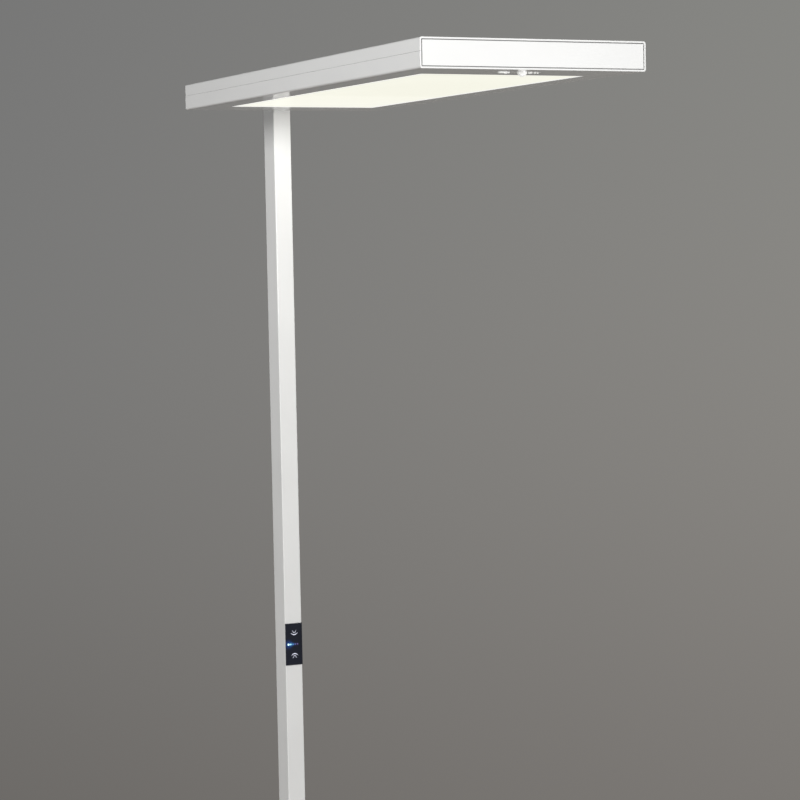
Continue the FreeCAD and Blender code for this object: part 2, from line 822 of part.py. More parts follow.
def build_daylight_window():
    """Oblong window of the daylight sensor with a small dome on its face."""
    low = head_bottom_z - daylight_proud
    body = upright_obround(daylight_length, daylight_width, low, sensor_board_z, daylight_x, sensor_y)
    end = [e for e in body.Edges if abs(e.CenterOfMass.z - low) < same_place]
    body = body.makeFillet(optic_edge_radius, end)
    sphere_radius = (daylight_dome_radius ** 2 + daylight_dome_proud ** 2) / (2 * daylight_dome_proud)
    centre = Vector(daylight_dome_x, sensor_y, low - daylight_dome_proud + sphere_radius)
    cap = Part.makeSphere(sphere_radius, centre)
    cap = cap.common(rod(daylight_dome_radius, daylight_dome_proud + optic_edge_radius,
                         Vector(daylight_dome_x, sensor_y, low - daylight_dome_proud)))
    return joined([body, cap])


def build_sensor_board():
    """Circuit board on the bezel's pegs."""
    board = box(sensor_board_end_x - sensor_board_length, sensor_board_end_x,
                sensor_y - sensor_board_width / 2, sensor_y + sensor_board_width / 2,
                sensor_board_z, sensor_board_z + board_thickness)
    holes = [rod(peg_radius + thread_clearance, board_thickness + 2 * cut_over,
                 Vector(x, y, sensor_board_z - cut_over))
             for x, y in peg_places()]
    return drilled(board, holes)


def build_pir_sensor():
    """Metal can of the presence sensor under the board, with its square window."""
    low = sensor_board_z - pir_can_height
    can = rod(pir_can_radius, pir_can_height, Vector(lens_x, sensor_y, low))
    half = pir_window_half_width
    return can.cut(box(lens_x - half, lens_x + half, sensor_y - half, sensor_y + half, low,
                       low + pir_window_depth))


def build_post_tube():
    """Rectangular post with its touch-panel window, bolt holes, cable passage and cord hole."""
    top_z = head_top_z - cap_thickness
    outer = rounded_block(-post_width / 2, post_width / 2, post_front_y, post_rear_y, base_top_z, top_z,
                          post_corner_radius)
    inner = box(-post_inner_half_x, post_inner_half_x, post_inner_front_y, post_inner_rear_y,
                base_top_z - cut_over, top_z + cut_over)
    holes = [inner]
    holes.append(box(-touch_window_width / 2, touch_window_width / 2,
                     post_front_y - cut_over, post_inner_front_y + cut_over,
                     touch_z - touch_window_height / 2, touch_z + touch_window_height / 2))
    holes += head_bolt_holes(post_front_y - cut_over, post_inner_front_y + cut_over)
    holes.append(cable_slot(post_front_y - cut_over, post_inner_front_y + cut_over))
    holes.append(rod(gland_neck_radius + gland_clearance, post_wall + 2 * cut_over,
                     Vector(0, post_inner_rear_y - cut_over, base_top_z + gland_height), ALONG_Y))
    for height in (grub_low_height, grub_high_height):
        holes.append(rod(grub_radius + thread_clearance, post_wall + 2 * cut_over,
                         Vector(0, post_inner_rear_y - cut_over, base_top_z + height), ALONG_Y))
    return drilled(outer, holes)


def build_post_top_cap():
    """Cap on the post's open top, level with the top of the head."""
    low = head_top_z - cap_thickness
    plate = rounded_block(-post_width / 2, post_width / 2, post_front_y, post_rear_y, low, head_top_z,
                          post_corner_radius)
    half_x = post_inner_half_x - insert_clearance
    front = post_inner_front_y + insert_clearance
    rear = post_inner_rear_y - insert_clearance
    plug = box(-half_x, half_x, front, rear, low - cap_plug_height, low)
    hollow = box(-half_x + cap_wall, half_x - cap_wall, front + cap_wall, rear - cap_wall,
                 low - cap_plug_height - cut_over, low)
    return joined([plate, plug.cut(hollow)])


def build_post_head_block():
    """Threaded steel block behind the post's front wall that takes the head bolts."""
    half_x = post_inner_half_x - insert_clearance
    block = box(-half_x, half_x, post_inner_front_y, post_inner_front_y + head_block_depth,
                head_bottom_z - head_block_below, head_block_top_z)
    holes = head_bolt_holes(post_inner_front_y - cut_over, post_inner_front_y + head_block_depth + cut_over)
    holes.append(cable_slot(post_inner_front_y - cut_over,
                            post_inner_front_y + head_block_depth + cut_over))
    return drilled(block, holes)


def foot_screw_places():
    """Four screws from below the base into the post's foot block."""
    middle_y = (post_front_y + post_rear_y) / 2
    return [(side * foot_screw_x, middle_y + end * foot_screw_y) for side in (-1, 1) for end in (-1, 1)]


def build_post_foot_block():
    """Solid block in the post's lower end, tapped from below and from behind."""
    half_x = post_inner_half_x - insert_clearance
    block = box(-half_x, half_x, post_inner_front_y + insert_clearance,
                post_inner_rear_y - insert_clearance,
                base_top_z, base_top_z + foot_block_height)
    radius = foot_screw_radius + thread_clearance
    holes = [rod(radius, foot_screw_length + cut_over, Vector(x, y, base_top_z - cut_over))
             for x, y in foot_screw_places()]
    for height in (grub_low_height, grub_high_height):
        holes.append(rod(grub_radius + thread_clearance, grub_length + cut_over,
                         Vector(0, post_rear_y - grub_length - cut_over, base_top_z + height), ALONG_Y))
    return drilled(block, holes)


def build_foot_screws():
    """Socket-head screws sunk in the base plate's underside."""
    web = base_thickness - foot_screw_head_height - counterbore_clearance
    seat_z = base_top_z - web
    screws = []
    for x, y in foot_screw_places():
        head = rod(foot_screw_head_radius, foot_screw_head_height,
                   Vector(x, y, seat_z - foot_screw_head_height))
        shank = rod(foot_screw_radius, foot_screw_length + web - thread_end_gap, Vector(x, y, seat_z))
        socket = rod(foot_screw_socket_radius, foot_screw_head_height / 2,
                     Vector(x, y, seat_z - foot_screw_head_height))
        screws.append(joined([head, shank]).cut(socket))
    return screws


def build_grub_screws():
    """Headless screws through the post's rear wall into the foot block."""
    return [rod(grub_radius, grub_length, Vector(0, post_rear_y - grub_length - grub_recess,
                                                 base_top_z + height), ALONG_Y)
            for height in (grub_low_height, grub_high_height)]


def build_cord_gland():
    """Bush for the mains cord in the post's rear wall."""
    height = base_top_z + gland_height
    flange = rod(gland_flange_radius, gland_flange_thickness, Vector(0, post_rear_y, height), ALONG_Y)
    outer_rim = edges_at_depth(flange, post_rear_y + gland_flange_thickness)
    flange = flange.makeFillet(gland_edge_radius, outer_rim)
    neck = rod(gland_neck_radius, post_wall + gland_neck_length,
               Vector(0, post_inner_rear_y - gland_neck_length, height), ALONG_Y)
    bore = rod(gland_bore_radius, post_wall + gland_neck_length + gland_flange_thickness + 2 * cut_over,
               Vector(0, post_inner_rear_y - gland_neck_length - cut_over, height), ALONG_Y)
    return joined([flange, neck]).cut(bore)


def build_gland_nut():
    """Ring nut that clamps the gland from inside the post."""
    height = base_top_z + gland_height
    start = Vector(0, post_inner_rear_y - gland_nut_thickness, height)
    ring = rod(gland_nut_radius, gland_nut_thickness, start, ALONG_Y)
    return ring.cut(rod(gland_neck_radius + gland_clearance, gland_nut_thickness, start, ALONG_Y))


def build_inlet_connector():
    """Plug-in connector block on the post's front wall, between the cord and the inner cable."""
    block = box(-inlet_block_width / 2, inlet_block_width / 2, post_inner_front_y,
                post_inner_front_y + inlet_block_depth, inlet_z, inlet_z + inlet_block_height)
    rear_edges = edges_at_depth(block, post_inner_front_y + inlet_block_depth)
    return block.makeChamfer(block_chamfer, rear_edges)


def build_mains_cable():
    """Supply cable from the connector at the post's foot up to the driver's terminal."""
    start_z = inlet_z + inlet_block_height
    bend_z = start_z + cable_shift_start
    terminal_face_y = terminal_y + terminal_depth / 2
    points = [Vector(mains_cable_x, inlet_y, start_z),
              Vector(mains_cable_x, inlet_y, bend_z),
              Vector(mains_cable_x, cable_y, bend_z + cable_shift_height),
              Vector(mains_cable_x, cable_y, cable_z),
              Vector(mains_cable_x, cable_lane_y, cable_z),
              Vector(-terminal_x, cable_lane_y, cable_z),
              Vector(-terminal_x, terminal_face_y, cable_z)]
    bends = [mains_shift_bend, mains_shift_bend, cable_top_bend, cable_lane_bend, cable_lane_bend]
    return bent_tube(points, bends, mains_cable_radius)


def build_control_cable():
    """Thin cable from the touch board up to the driver's control terminal."""
    connector_back_y = post_front_y + board_thickness + connector_depth
    clear_z = touch_z + carrier_height
    terminal_face_y = terminal_y + terminal_depth / 2
    turn_y = post_inner_front_y + carrier_depth + control_cable_radius + control_cable_reach
    points = [Vector(0, connector_back_y, connector_z),
              Vector(0, turn_y, connector_z),
              Vector(control_cable_x, cable_y, clear_z),
              Vector(control_cable_x, cable_y, cable_z),
              Vector(control_cable_x, cable_lane_y, cable_z),
              Vector(terminal_x, cable_lane_y, cable_z),
              Vector(terminal_x, terminal_face_y, cable_z)]
    bends = [control_start_bend, control_shift_bend, cable_top_bend, cable_lane_bend, cable_lane_bend]
    return bent_tube(points, bends, control_cable_radius)


def build_sensor_lead():
    """Thin lead along the casing floor from the sensor's board to the control terminal."""
    board_mid_z = sensor_board_z + board_thickness / 2
    on_floor_z = floor_z + lead_radius
    terminal_side_x = terminal_x + terminal_width / 2
    above_bracket_z = bracket_top_z + sensor_lead_rise
    points = [Vector(sensor_board_end_x, sensor_y, board_mid_z),
              Vector(sensor_board_end_x + sensor_lead_step, sensor_y, board_mid_z),
              Vector(sensor_board_end_x + 2 * sensor_lead_step, sensor_y, on_floor_z),
              Vector(lead_lane_x, sensor_y, on_floor_z),
              Vector(lead_lane_x, terminal_y, on_floor_z),
              Vector(bracket_half_width + 2 * bracket_lead_gap, terminal_y, on_floor_z),
              Vector(bracket_half_width + bracket_lead_gap, terminal_y, above_bracket_z),
              Vector(terminal_side_x, terminal_y, above_bracket_z)]
    wide = sensor_lead_wide_bend
    return bent_tube(points, [wide, wide, wide, wide, sensor_lead_tight_bend, sensor_lead_tight_bend],
                     lead_radius)


def build_led_leads():
    """Two short leads from the driver to the strips beside the light guide."""
    leads = []
    strip_x = strip_half_x - strip_board_thickness / 2
    lane_y = bracket_near_y + led_lead_from_edge
    driver_z = bracket_top_z + led_lead_height
    strip_z = (guide_z + reflector_z) / 2
    for side in (-1, 1):
        start_x = side * (driver_half_width - led_lead_inset)
        points = [Vector(start_x, driver_near_y, driver_z),
                  Vector(start_x, lane_y, driver_z),
                  Vector(side * strip_x, lane_y, strip_z),
                  Vector(side * strip_x, guide_far_y, strip_z)]
        leads.append(bent_tube(points, [led_lead_bend, led_lead_bend], lead_radius))
    return leads


def build_touch_glass():
    """Cover glass bonded on the post's front face over the window, its edges slightly rounded."""
    half_x = post_width / 2 - touch_side_inset
    half_z = touch_height / 2
    glass_front_y = post_front_y - touch_glass_thickness
    glass = box(-half_x, half_x, glass_front_y, post_front_y, touch_z - half_z, touch_z + half_z)
    return glass.makeFillet(touch_edge_radius, edges_at_depth(glass, glass_front_y))


def indicator_places():
    """Places of the small lights across the touch panel."""
    middle = (indicator_count - 1) / 2
    return [indicator_x + (k - middle) * indicator_spacing for k in range(indicator_count)]


def build_touch_board():
    """Touch and indicator board bonded to the glass, with the cable's connector on its back."""
    half_x = touch_window_width / 2 - touch_board_clearance
    half_z = touch_window_height / 2 - touch_board_clearance
    back = post_front_y + board_thickness
    board = box(-half_x, half_x, post_front_y, back, touch_z - half_z, touch_z + half_z)
    connector = box(-connector_width / 2, connector_width / 2, back, back + connector_depth,
                    connector_z - connector_height / 2, connector_z + connector_height / 2)
    holes = [rod(indicator_hole_radius, board_thickness + 2 * cut_over,
                 Vector(x, post_front_y - cut_over, touch_z), ALONG_Y)
             for x in indicator_places()]
    return drilled(joined([board, connector]), holes)


def build_indicator_leds():
    """Row of small lights behind the holes of the touch board."""
    back = post_front_y + board_thickness
    half = indicator_size / 2
    return [box(x - half, x + half, back, back + indicator_depth, touch_z - half, touch_z + half)
            for x in indicator_places()]


def build_touch_carrier():
    """Frame that presses the touch board to the glass from behind, a push fit between the side walls."""
    half_x = post_inner_half_x - carrier_clearance
    back = post_inner_front_y + carrier_depth
    block = box(-half_x, half_x, post_inner_front_y, back, touch_z - carrier_height / 2,
                touch_z + carrier_height / 2)
    rim_half_x = touch_window_width / 2 - touch_board_clearance
    rim_half_z = touch_window_height / 2 - touch_board_clearance
    board_back_y = post_front_y + board_thickness
    rim = box(-rim_half_x, rim_half_x, board_back_y, post_inner_front_y, touch_z - rim_half_z,
              touch_z + rim_half_z)
    opening = box(indicator_x - carrier_opening_width / 2, indicator_x + carrier_opening_width / 2,
                  board_back_y - cut_over, back + cut_over,
                  touch_z - carrier_opening_height / 2, touch_z + carrier_opening_height / 2)
    return joined([block, rim]).cut(opening)


def glide_places():
    """Name and place of each levelling glide."""
    left = -base_width / 2 + glide_inset
    right = base_width / 2 - glide_inset
    front = base_front_y + glide_inset
    rear = base_rear_y - glide_inset
    return [("front_left", left, front), ("front_right", right, front),
            ("rear_left", left, rear), ("rear_right", right, rear)]


def build_base_plate():
    """Heavy steel plate with counterbored screw holes and blind glide holes."""
    plate = rounded_block(-base_width / 2, base_width / 2, base_front_y, base_rear_y, base_bottom_z,
                          base_top_z,
                          base_corner_radius)
    rim = [e for e in plate.Edges if abs(e.CenterOfMass.z - base_top_z) < same_place]
    plate = plate.makeFillet(base_edge_radius, rim)
    web = base_thickness - foot_screw_head_height - counterbore_clearance
    holes = []
    for x, y in foot_screw_places():
        holes.append(rod(foot_screw_radius + thread_clearance, base_thickness + 2 * cut_over,
                         Vector(x, y, base_bottom_z - cut_over)))
        holes.append(rod(foot_screw_head_radius + counterbore_clearance, base_thickness - web,
                         Vector(x, y, base_bottom_z)))
    for _, x, y in glide_places():
        holes.append(rod(glide_stud_radius + glide_stud_clearance, glide_hole_depth,
                         Vector(x, y, base_bottom_z)))
    return drilled(plate, holes)


def build_glide_stud(x, y):
    """Threaded stud of a glide, from inside its foot into the base."""
    low = glide_pad_thickness + glide_foot_thickness / 3
    return rod(glide_stud_radius, base_bottom_z + glide_stud_engagement - low, Vector(x, y, low))


def build_glide_foot(x, y):
    """Moulded foot round the stud's lower end."""
    foot = rod(glide_foot_radius, glide_foot_thickness, Vector(x, y, glide_pad_thickness))
    rim = [e for e in foot.Edges if abs(e.CenterOfMass.z - base_bottom_z) < same_place]
    foot = foot.makeFillet(glide_foot_thickness / 4, rim)
    low = glide_pad_thickness + glide_foot_thickness / 3
    return foot.cut(rod(glide_stud_radius + glide_stud_clearance / 2, glide_foot_thickness,
                        Vector(x, y, low)))


def build_glide_pad(x, y):
    """Felt disc under a glide's foot."""
    return rod(glide_foot_radius - glide_pad_inset, glide_pad_thickness, Vector(x, y, 0))


def export_head():
    """Casing, light panels, electronics and sensor of the head."""
    export("lower_housing", [build_lower_housing()])
    export("upper_housing", [build_upper_housing()])
    export("housing_screws", build_lid_screws())
    export("end_plate_near", [build_end_plate(near_y, 1)])
    export("end_plate_far", [build_far_end_plate()])
    export("end_plate_screws", build_end_plate_screws())
    export("head_bracket", [build_head_bracket()])
    export("bracket_nuts", build_bracket_nuts())
    export("head_bolts", build_head_bolts())
    export("lower_diffuser", [stepped_diffuser(head_bottom_z + diffuser_recess, floor_z, floor_z, guide_z)])
    export("upper_diffuser", [stepped_diffuser(roof_z, head_top_z - diffuser_recess, upper_flange_z,
                                               roof_z)])
    export("light_guide", [box(-guide_half_x, guide_half_x, guide_near_y, guide_far_y, guide_z,
                               reflector_z)])
    export("reflector_sheet", [box(-guide_half_x, guide_half_x, guide_near_y, guide_far_y, reflector_z,
                                   back_plate_z)])
    export("led_strips", build_led_strips())
    export("back_plate", [build_back_plate()])
    export("back_plate_screws", build_back_plate_screws())
    export("uplight_boards", build_uplight_boards())
    export("uplight_reflector", [build_uplight_reflector()])
    export("led_driver", [build_driver()])
    export("driver_screws", build_driver_screws())
    export("mains_terminal", [build_terminal(-1)])
    export("control_terminal", [build_terminal(1)])
    export("sensor_bezel", [build_sensor_bezel()])
    export("pir_lens", [build_pir_lens()])
    export("daylight_window", [build_daylight_window()])
    export("ir_receiver", [build_optic(receiver_x, receiver_radius)])
    export("status_light", [build_optic(status_light_x, status_light_radius)])
    export("ir_transmitter", [build_optic(transmitter_x, transmitter_radius)])
    export("sensor_board", [build_sensor_board()])
    export("pir_sensor", [build_pir_sensor()])
    export("sensor_lead", [build_sensor_lead()])
    export("led_leads", build_led_leads())


def export_post():
    """Post with its fittings, cables and touch panel."""
    export("post_tube", [build_post_tube()])
    export("post_top_cap", [build_post_top_cap()])
    export("post_head_block", [build_post_head_block()])
    export("post_foot_block", [build_post_foot_block()])
    export("foot_screws", build_foot_screws())
    export("grub_screws", build_grub_screws())
    export("cord_gland", [build_cord_gland()])
    export("gland_nut", [build_gland_nut()])
    export("inlet_connector", [build_inlet_connector()])
    export("mains_cable", [build_mains_cable()])
    export("control_cable", [build_control_cable()])
    export("touch_glass", [build_touch_glass()])
    export("touch_board", [build_touch_board()])
    export("touch_carrier", [build_touch_carrier()])
    export("indicator_leds", build_indicator_leds())


def export_base():
    """Base plate and its four levelling glides."""
    export("base_plate", [build_base_plate()])
    for name, x, y in glide_places():
        export("glide_stud_" + name, [build_glide_stud(x, y)])
        export("glide_foot_" + name, [build_glide_foot(x, y)])
        export("glide_pad_" + name, [build_glide_pad(x, y)])


os.makedirs("parts", exist_ok=True)
export_head()
export_post()
export_base()
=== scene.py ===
import bpy, bmesh, json, math
from mathutils import Vector, Matrix


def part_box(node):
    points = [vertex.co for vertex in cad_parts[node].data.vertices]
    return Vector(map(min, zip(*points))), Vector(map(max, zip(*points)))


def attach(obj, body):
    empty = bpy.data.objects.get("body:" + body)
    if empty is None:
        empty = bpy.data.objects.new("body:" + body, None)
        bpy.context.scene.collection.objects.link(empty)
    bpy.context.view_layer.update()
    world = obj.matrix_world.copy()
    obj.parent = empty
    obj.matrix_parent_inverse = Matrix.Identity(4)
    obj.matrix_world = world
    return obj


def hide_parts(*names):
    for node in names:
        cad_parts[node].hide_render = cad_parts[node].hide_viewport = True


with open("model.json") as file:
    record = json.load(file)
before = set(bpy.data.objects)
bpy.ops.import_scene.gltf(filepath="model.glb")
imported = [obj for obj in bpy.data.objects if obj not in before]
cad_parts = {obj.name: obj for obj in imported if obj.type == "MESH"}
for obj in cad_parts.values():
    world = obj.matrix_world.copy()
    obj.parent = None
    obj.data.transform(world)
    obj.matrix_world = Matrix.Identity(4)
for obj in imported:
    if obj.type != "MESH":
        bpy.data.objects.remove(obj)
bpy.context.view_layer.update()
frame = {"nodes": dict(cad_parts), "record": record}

nodes = frame["nodes"]
scene = bpy.context.scene
MM = 0.001

# ---------------------------------------------------------------- camera
# Its place, its turns in radians and its lens were solved on the straight edges of the head and the post.
scene.view_settings.view_transform = "Standard"
eye = Vector((-1.46934, -3.21826, 1.68272))
yaw, pitch, roll = 0.43447, -0.06499, -0.0192
sensor_width_mm, lens_mm = 36.0, 105.818
forward = Vector((math.sin(yaw) * math.cos(pitch), math.cos(yaw) * math.cos(pitch), math.sin(pitch)))
level_right = Vector((math.cos(yaw), -math.sin(yaw), 0.0))
level_up = level_right.cross(forward)
camera_right = math.cos(roll) * level_right + math.sin(roll) * level_up
camera_up = -math.sin(roll) * level_right + math.cos(roll) * level_up
camera_data = bpy.data.cameras.new("camera")
camera_data.sensor_fit = "HORIZONTAL"
camera_data.sensor_width = sensor_width_mm
camera_data.lens = lens_mm
camera_data.clip_end = 100.0
camera = bpy.data.objects.new("camera", camera_data)
camera_turn = Matrix((camera_right, camera_up, -forward)).transposed()
camera.matrix_world = Matrix.Translation(eye) @ camera_turn.to_4x4()
scene.collection.objects.link(camera)
scene.camera = camera

# ---------------------------------------------------------------- sizes and places
panel_low, panel_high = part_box("lower_diffuser")
glass_low, glass_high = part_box("touch_glass")
lens_low, lens_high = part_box("pir_lens")
lens_centre = (lens_low + lens_high) / 2
glass_front = glass_low.y
glass_middle_z = (glass_low.z + glass_high.z) / 2
panel_flange = 6 * MM               # all round the panel, hidden above the casing's rim

# Paint of the casing and its end plates: colour, depth of the texture in mm, strength of the clear coat.
casing_colour, casing_texture, casing_coat = (0.83, 0.83, 0.82), 0.05, 1.0
# Painted shade in the end plates' joint: the paint turns grey behind the plate's face, standing in for the
# shadow in the gap.
painted_joint_shade = (0.10, 0.10, 0.10)
joint_shade_start = 0.5 * MM         # depth behind an end plate's face where the painted shade of its joint starts
joint_shade_full = 1.3 * MM

# The five small lights behind the glass, from left to right. A dot has its colour, strength and radius in mm,
# and the halo round it has its colour, strength and reach in mm.
small_lights = [
    {"dot": ((0.66, 1.00, 1.00), 1.40, 1.8), "halo": ((0.01, 0.09, 0.45), 0.46, 12.5)},
    {"dot": ((0.45, 0.95, 1.00), 1.15, 1.3), "halo": ((0.02, 0.22, 0.62), 0.50, 6.5)},
    {"dot": ((0.10, 0.38, 0.78), 0.90, 1.1), "halo": ((0.03, 0.14, 0.45), 0.45, 5.0)},
    {"dot": ((0.12, 0.16, 0.50), 0.80, 1.1), "halo": ((0.06, 0.07, 0.28), 0.40, 4.5)},
    {"dot": ((0.17, 0.12, 0.34), 0.80, 1.1), "halo": ((0.07, 0.05, 0.20), 0.35, 4.5)},
]
light_spacing = 4.0 * MM
light_middle_x = -1.9 * MM
dot_sides = 24
dot_proud = 0.03 * MM

# The two printed marks, each a lampshade with three rays. A ray has its start in mm from the middle of the
# lampshade's open side, its angle in degrees and its length in mm.
mark_offset = 19.5 * MM             # from the glass's middle, up and down
mark_up_x, mark_down_x = 0.6 * MM, 0.8 * MM
mark_proud = 0.04 * MM
lampshade_width, lampshade_height, lampshade_belly = 12.8 * MM, 4.3 * MM, 1.3 * MM
lampshade_steps = 20
ray_width = 0.58 * MM
ray_end_steps = 6
mark_rays = ((0.9, -0.8, 62, 4.8), (-0.9, -0.8, 118, 4.8), (0.0, -0.6, 90, 1.2))

# The lid's screws: countersunk heads of 45 degrees with a hexagon recess.
screw_sides = 36
head_radius, shank_radius = 4.0 * MM, 2.0 * MM
recess_half_flats = 1.5 * MM
recess_depth, recess_point, recess_chamfer = 1.3 * MM, 0.3 * MM, 0.15 * MM
rim_inset, rim_drop = 0.18 * MM, 0.14 * MM
neck_length = 0.3 * MM
tip_length, tip_share = 0.5 * MM, 0.7

# Floor, in metres.
floor_radius = 2.9
floor_fade_start, floor_fade_end = 1.5, 2.85
floor_drop = 0.3 * MM               # below the felt pads

# Surround: greys of low, middle and high rays on each side, and the parts of a ray's direction, sideways and
# upward, between which they change. The fill lights the object evenly, and camera, glossy and clear rays
# don't see it.
left_greys = ((0.138, 0.128, 0.118), (0.196, 0.196, 0.192), (0.178, 0.178, 0.178))
right_greys = ((0.190, 0.178, 0.166), (0.262, 0.252, 0.236), (0.236, 0.238, 0.226))
sideways_range = (0.24, 0.58)
upward_range = (-0.25, 0.12)
fill_strength = 0.16

# Hidden lamps under the lit window.
window_tint = (1.0, 0.99, 0.96)
window_lamp_margin = 10 * MM
window_lamp_drop = 3 * MM
strip_width, strip_height = 200 * MM, 20 * MM
strip_drop = 12 * MM


def light_x(index):
    """Place of one of the small lights in their row."""
    return light_middle_x + (index - (len(small_lights) - 1) / 2) * light_spacing


# ---------------------------------------------------------------- material helpers
class Nodes:
    """Short names for building the node tree of a material or a world."""

    def __init__(self, owner, coordinates):
        owner.use_nodes = True
        self.tree = owner.node_tree
        self.tree.nodes.clear()
        self.place = self.add("TexCoord").outputs[coordinates]

    def put(self, socket, value):
        """Connect an output, or set a plain number or colour on the socket."""
        if isinstance(value, bpy.types.NodeSocket):
            self.tree.links.new(value, socket)
        else:
            socket.default_value = value

    def add(self, kind, inputs=None, **settings):
        """New node with its settings, then its inputs by name or number."""
        node = self.tree.nodes.new("ShaderNode" + kind)
        for key, value in settings.items():
            setattr(node, key, value)
        for key, value in (inputs or {}).items():
            self.put(node.inputs[key], value)
        return node

    def stretched(self, scale):
        """The place scaled by three factors."""
        return self.add("Mapping", {"Vector": self.place, "Scale": scale}).outputs[0]

    def noise(self, scale, detail=2.0, rough=0.5, place=None, distortion=0.0):
        inputs = {"Vector": place or self.place, "Scale": scale, "Detail": detail,
                  "Roughness": rough, "Distortion": distortion}
        return self.add("TexNoise", inputs).outputs["Fac"]

    def voronoi(self, scale):
        return self.add("TexVoronoi", {"Vector": self.place, "Scale": scale}).outputs["Distance"]

    def ramp(self, value, low, high, out_low=0.0, out_high=1.0, kind="SMOOTHSTEP"):
        """A value carried from one range to another, held at both ends."""
        inputs = {"Value": value, "From Min": low, "From Max": high, "To Min": out_low, "To Max": out_high}
        return self.add("MapRange", inputs, interpolation_type=kind).outputs["Result"]

    def spread(self, noise, out_low=0.0, out_high=1.0):
        """Noise, which lies mostly near its middle, spread over a range."""
        return self.ramp(noise, 0.3, 0.7, out_low, out_high)

    def math(self, operation, a, b=0.0):
        return self.add("Math", {0: a, 1: b}, operation=operation).outputs[0]

    def axis(self, index):
        """One coordinate of the place."""
        return self.add("SeparateXYZ", {0: self.place}).outputs[index]

    def distance(self, across, along):
        """Length of a flat vector from its two parts."""
        squared = self.math("ADD", self.math("MULTIPLY", across, across), self.math("MULTIPLY", along, along))
        return self.math("SQRT", squared)

    def mix(self, factor, a, b, blend="MIX"):
        """Mix of two colours."""
        node = self.add("Mix", data_type="RGBA", blend_type=blend)
        self.put(node.inputs["Factor"], factor)
        for socket, value in ((node.inputs[6], a), (node.inputs[7], b)):
            self.put(socket, value if isinstance(value, bpy.types.NodeSocket) else tuple(value) + (1.0,))
        return node.outputs[2]

    def bump(self, height, distance, strength, under=None):
        """Normals raised by a height, over another bump where one is given."""
        inputs = {"Height": height, "Distance": distance, "Strength": strength}
        if under is not None:
            inputs["Normal"] = under
        return self.add("Bump", inputs).outputs["Normal"]


class Paint(Nodes):
    """A material with one Principled shader."""

    def __init__(self, name):
        self.material = bpy.data.materials.new(name)
        super().__init__(self.material, "Object")
        self.shader = self.add("BsdfPrincipled")
        self.add("OutputMaterial", {"Surface": self.shader.outputs[0]})

    def set(self, **values):
        """Set the shader's own sockets, an underscore standing for a space."""
        for key, value in values.items():
            self.put(self.shader.inputs[key.replace("_", " ")], value)


def shade(colour, factor):
    """A colour made darker or lighter."""
    return tuple(min(c * factor, 1.0) for c in colour)


def mottled(n, colour, amount, scale):
    """A colour that varies slightly over the surface."""
    return n.mix(n.spread(n.noise(scale, 3.0)), shade(colour, 1 - amount), shade(colour, 1 + amount))


# ---------------------------------------------------------------- materials
def powder_coat(name, colour, texture, coat, dirt_height=None, end_face=None):
    """Satin powder coat with a fine orange-peel texture; on an end plate, painted shade greys the paint far
    back in its joint.
    """
    n = Paint(name)
    base = mottled(n, colour, 0.012, 9.0)
    speck = n.ramp(n.noise(1500.0, 1.0), 0.62, 0.75)
    base = n.mix(n.math("MULTIPLY", speck, 0.05), base, shade(colour, 0.8))
    if dirt_height is not None:
        low = n.ramp(n.axis(2), 0.0, dirt_height, 1.0, 0.0)
        smudge = n.math("MULTIPLY", low, n.ramp(n.noise(35.0, 4.0), 0.4, 0.7))
        base = n.mix(n.math("MULTIPLY", smudge, 0.25), base, (0.55, 0.54, 0.51))
    # Painted shade: grey paint behind an end plate's face, in place of the shadow in its joint's gap.
    if end_face is not None:
        out = n.math("ABSOLUTE", n.axis(1))
        joint_shade_mask = n.ramp(out, end_face - joint_shade_full, end_face - joint_shade_start, 1.0, 0.0)
        base = n.mix(n.math("MULTIPLY", joint_shade_mask, 0.75), base, painted_joint_shade)
    n.set(Base_Color=base, Coat_Weight=coat, Coat_Roughness=0.035, Coat_IOR=1.5)
    n.set(Roughness=n.spread(n.noise(14.0, 3.0), 0.34, 0.42))
    peel = n.noise(620.0, 2.0)
    grain = n.noise(2100.0, 1.0)
    n.set(Normal=n.bump(peel, texture * MM, 0.35, n.bump(grain, texture * 0.35 * MM, 0.3)))
    return n.material


def moulded(name, colour, roughness, grain, depth):
    """Moulded plastic with a fine spark-eroded texture, its depth in mm."""
    n = Paint(name)
    n.set(Base_Color=mottled(n, colour, 0.02, 40.0))
    n.set(Roughness=n.spread(n.noise(60.0), roughness - 0.05, roughness + 0.07))
    n.set(Normal=n.bump(n.noise(grain, 3.0), depth * MM, 0.4))
    return n.material


def metal(name, colour, roughness, scale, stretch=(1.0, 1.0, 1.0), blotch=0.05):
    """Bare or plated metal with drawn marks or crystal blotches."""
    n = Paint(name)
    marks = n.noise(scale, 4.0, 0.6, n.stretched(stretch))
    cloud = n.ramp(n.noise(70.0, 4.0), 0.35, 0.65)
    base = n.mix(cloud, shade(colour, 1 - blotch), shade(colour, 1 + blotch))
    n.set(Base_Color=n.mix(n.math("MULTIPLY", marks, 0.25), base, shade(colour, 0.75)), Metallic=1.0)
    n.set(Roughness=n.spread(marks, roughness - 0.06, roughness + 0.1))
    n.set(Normal=n.bump(marks, 0.02 * MM, 0.35))
    return n.material


def circuit_board(name, mask, copper, roughness):
    """Solder mask over tracks, with small pads."""
    n = Paint(name)
    tracks = n.stretched((260.0, 260.0, 260.0))
    lines = n.add("TexBrick", {"Vector": tracks, "Mortar Size": 0.08, "Scale": 1.0}).outputs["Fac"]
    pads = n.ramp(n.voronoi(330.0), 0.14, 0.18, 1.0, 0.0)
    base = n.mix(n.math("MULTIPLY", lines, 0.5), mask, shade(mask, 1.35))
    n.set(Base_Color=n.mix(n.math("MULTIPLY", pads, 0.8), base, copper))
    n.set(Roughness=n.spread(n.noise(200.0), roughness - 0.05, roughness + 0.08))
    n.set(Normal=n.bump(lines, 0.05 * MM, 0.6))
    return n.material


